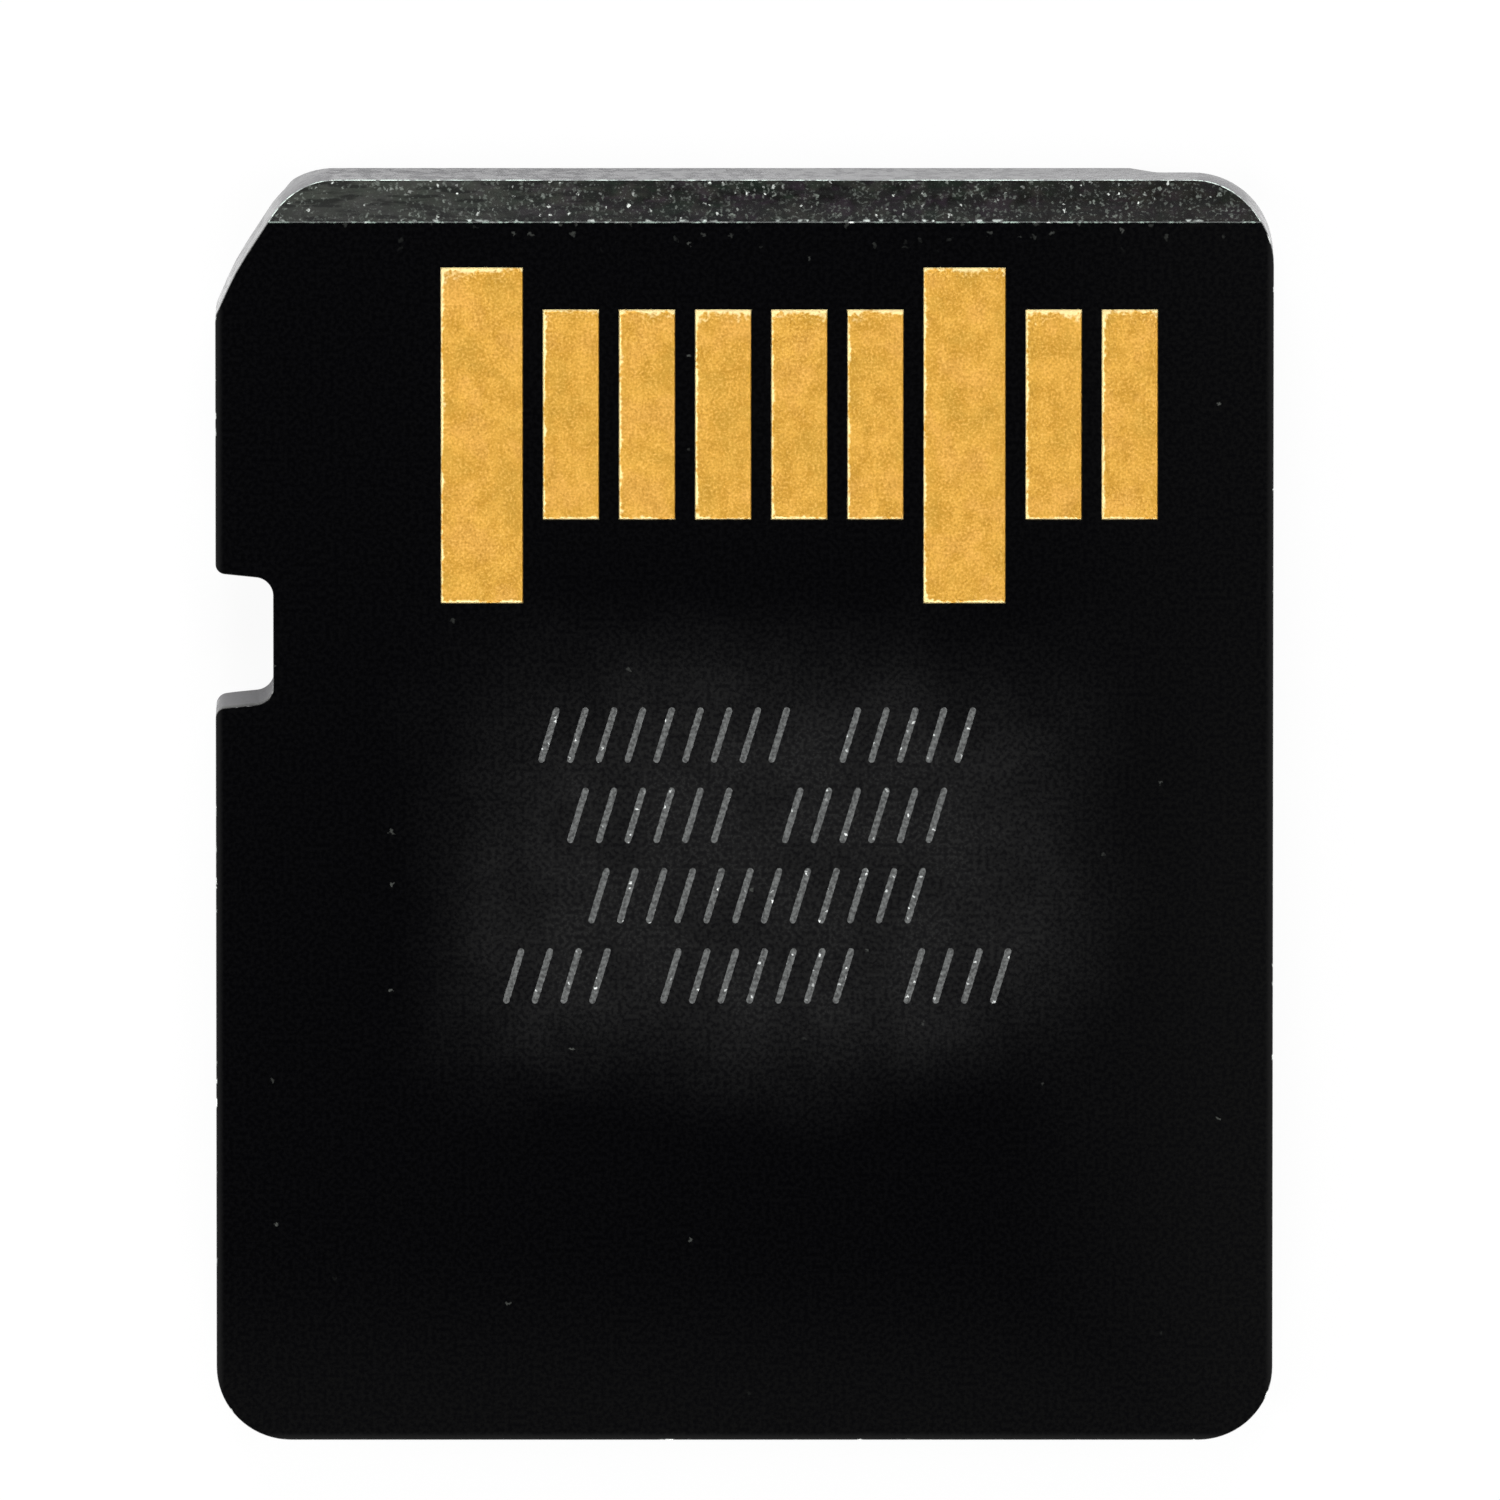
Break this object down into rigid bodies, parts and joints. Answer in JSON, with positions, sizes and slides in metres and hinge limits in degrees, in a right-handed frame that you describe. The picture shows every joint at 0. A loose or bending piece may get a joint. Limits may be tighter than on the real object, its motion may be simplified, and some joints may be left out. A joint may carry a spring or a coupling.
{
  "type": "console memory card",
  "caption": "Thin black flash memory card with a cut corner, a latch notch in one side, a bevelled insertion end and a row of gold contacts; slides into a handheld console.",
  "frame": {"origin": "centre of the card's outline, on the plane of the label side's raised deck", "axes": "+X across the card, +Y the way it slides in, +Z out of the contact face"},
  "size_m": [0.0126, 0.015, 0.0016],
  "materials": {
    "mould_compound": "satin",
    "board_mask": "satin",
    "contact_gold": "satin",
    "silicon": "polished",
    "capacitor_ceramic": "matte",
    "wire_gold": "polished"
  },
  "bodies": {
    "root": {"mould_body": "mould_compound", "substrate_board": "board_mask", "contact_pad_1": "contact_gold", "contact_pad_2": "contact_gold", "contact_pad_3": "contact_gold", "contact_pad_4": "contact_gold", "contact_pad_5": "contact_gold", "contact_pad_6": "contact_gold", "contact_pad_7": "contact_gold", "contact_pad_8": "contact_gold", "contact_pad_9": "contact_gold", "bond_fingers": "contact_gold", "flash_die_1": "silicon", "flash_die_2": "silicon", "flash_die_3": "silicon", "flash_die_4": "silicon", "controller_die": "silicon", "capacitor_1": "capacitor_ceramic", "capacitor_2": "capacitor_ceramic", "capacitor_3": "capacitor_ceramic", "flash_bond_wires": "wire_gold", "controller_bond_wires": "wire_gold"}
  },
  "joints": []
}
